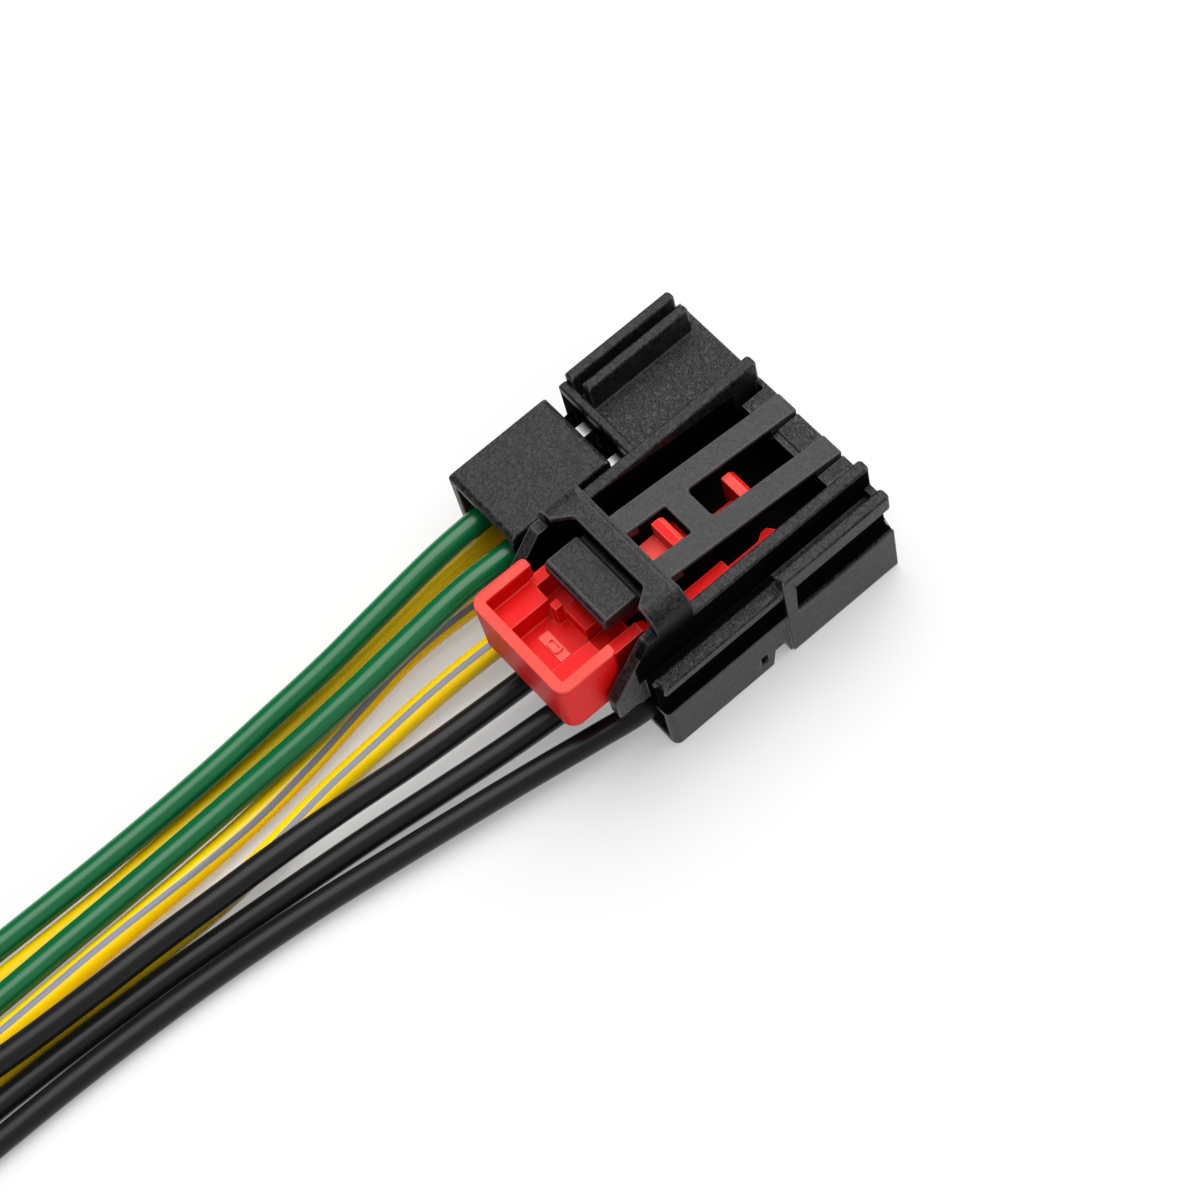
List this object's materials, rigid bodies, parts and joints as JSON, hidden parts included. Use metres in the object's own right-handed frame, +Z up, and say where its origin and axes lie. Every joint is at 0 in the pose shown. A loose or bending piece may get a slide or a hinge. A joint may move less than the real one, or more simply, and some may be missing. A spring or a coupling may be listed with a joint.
{
  "type": "prewired connector plug",
  "caption": "Moulded plug housing with rows of wire cavities, a press latch between two ribs, a red sliding latch lock and crimped coloured leads leaving its rear.",
  "frame": {"origin": "middle of the housing's flat underside, on the surface that the plug lies on", "axes": "+Y is the mating direction, +Z is up through the latch side, +X is to the right seen from the leads; the leads leave towards -Y"},
  "size_m": [0.0354, 0.1349, 0.0223],
  "materials": {
    "black_plastic": "moulded, fine spark texture",
    "red_plastic": "moulded, satin",
    "tin_plate": "tin-plated copper alloy strip",
    "green_insulation": "extruded, satin",
    "yellow_insulation": "extruded, satin",
    "striped_insulation": "extruded, satin, with a grey tracer stripe",
    "black_insulation": "extruded, satin"
  },
  "bodies": {
    "connector": {"housing": "black_plastic", "terminal_1": "tin_plate", "terminal_2": "tin_plate", "terminal_3": "tin_plate", "terminal_4": "tin_plate", "terminal_5": "tin_plate", "terminal_6": "tin_plate", "terminal_7": "tin_plate", "terminal_8": "tin_plate", "lead_1": "green_insulation", "lead_2": "green_insulation", "lead_3": "yellow_insulation", "lead_4": "striped_insulation", "lead_5": "striped_insulation", "lead_6": "black_insulation", "lead_7": "black_insulation", "lead_8": "black_insulation"},
    "lever": {"latch_lever": "black_plastic"},
    "slide": {"lock_slide": "red_plastic"}
  },
  "joints": [
    {"name": "latch_press", "type": "hinge", "parent": "connector", "child": "lever", "pos_m": [0.0053, 0.01435, 0.01432], "axis": [1, 0, 0], "range_deg": [0, 4.5], "stiffness_Nm_per_rad": 2},
    {"name": "slide_travel", "type": "slide", "parent": "connector", "child": "slide", "axis": [0, 1, 0], "range_m": [-0.0035, 0]}
  ]
}
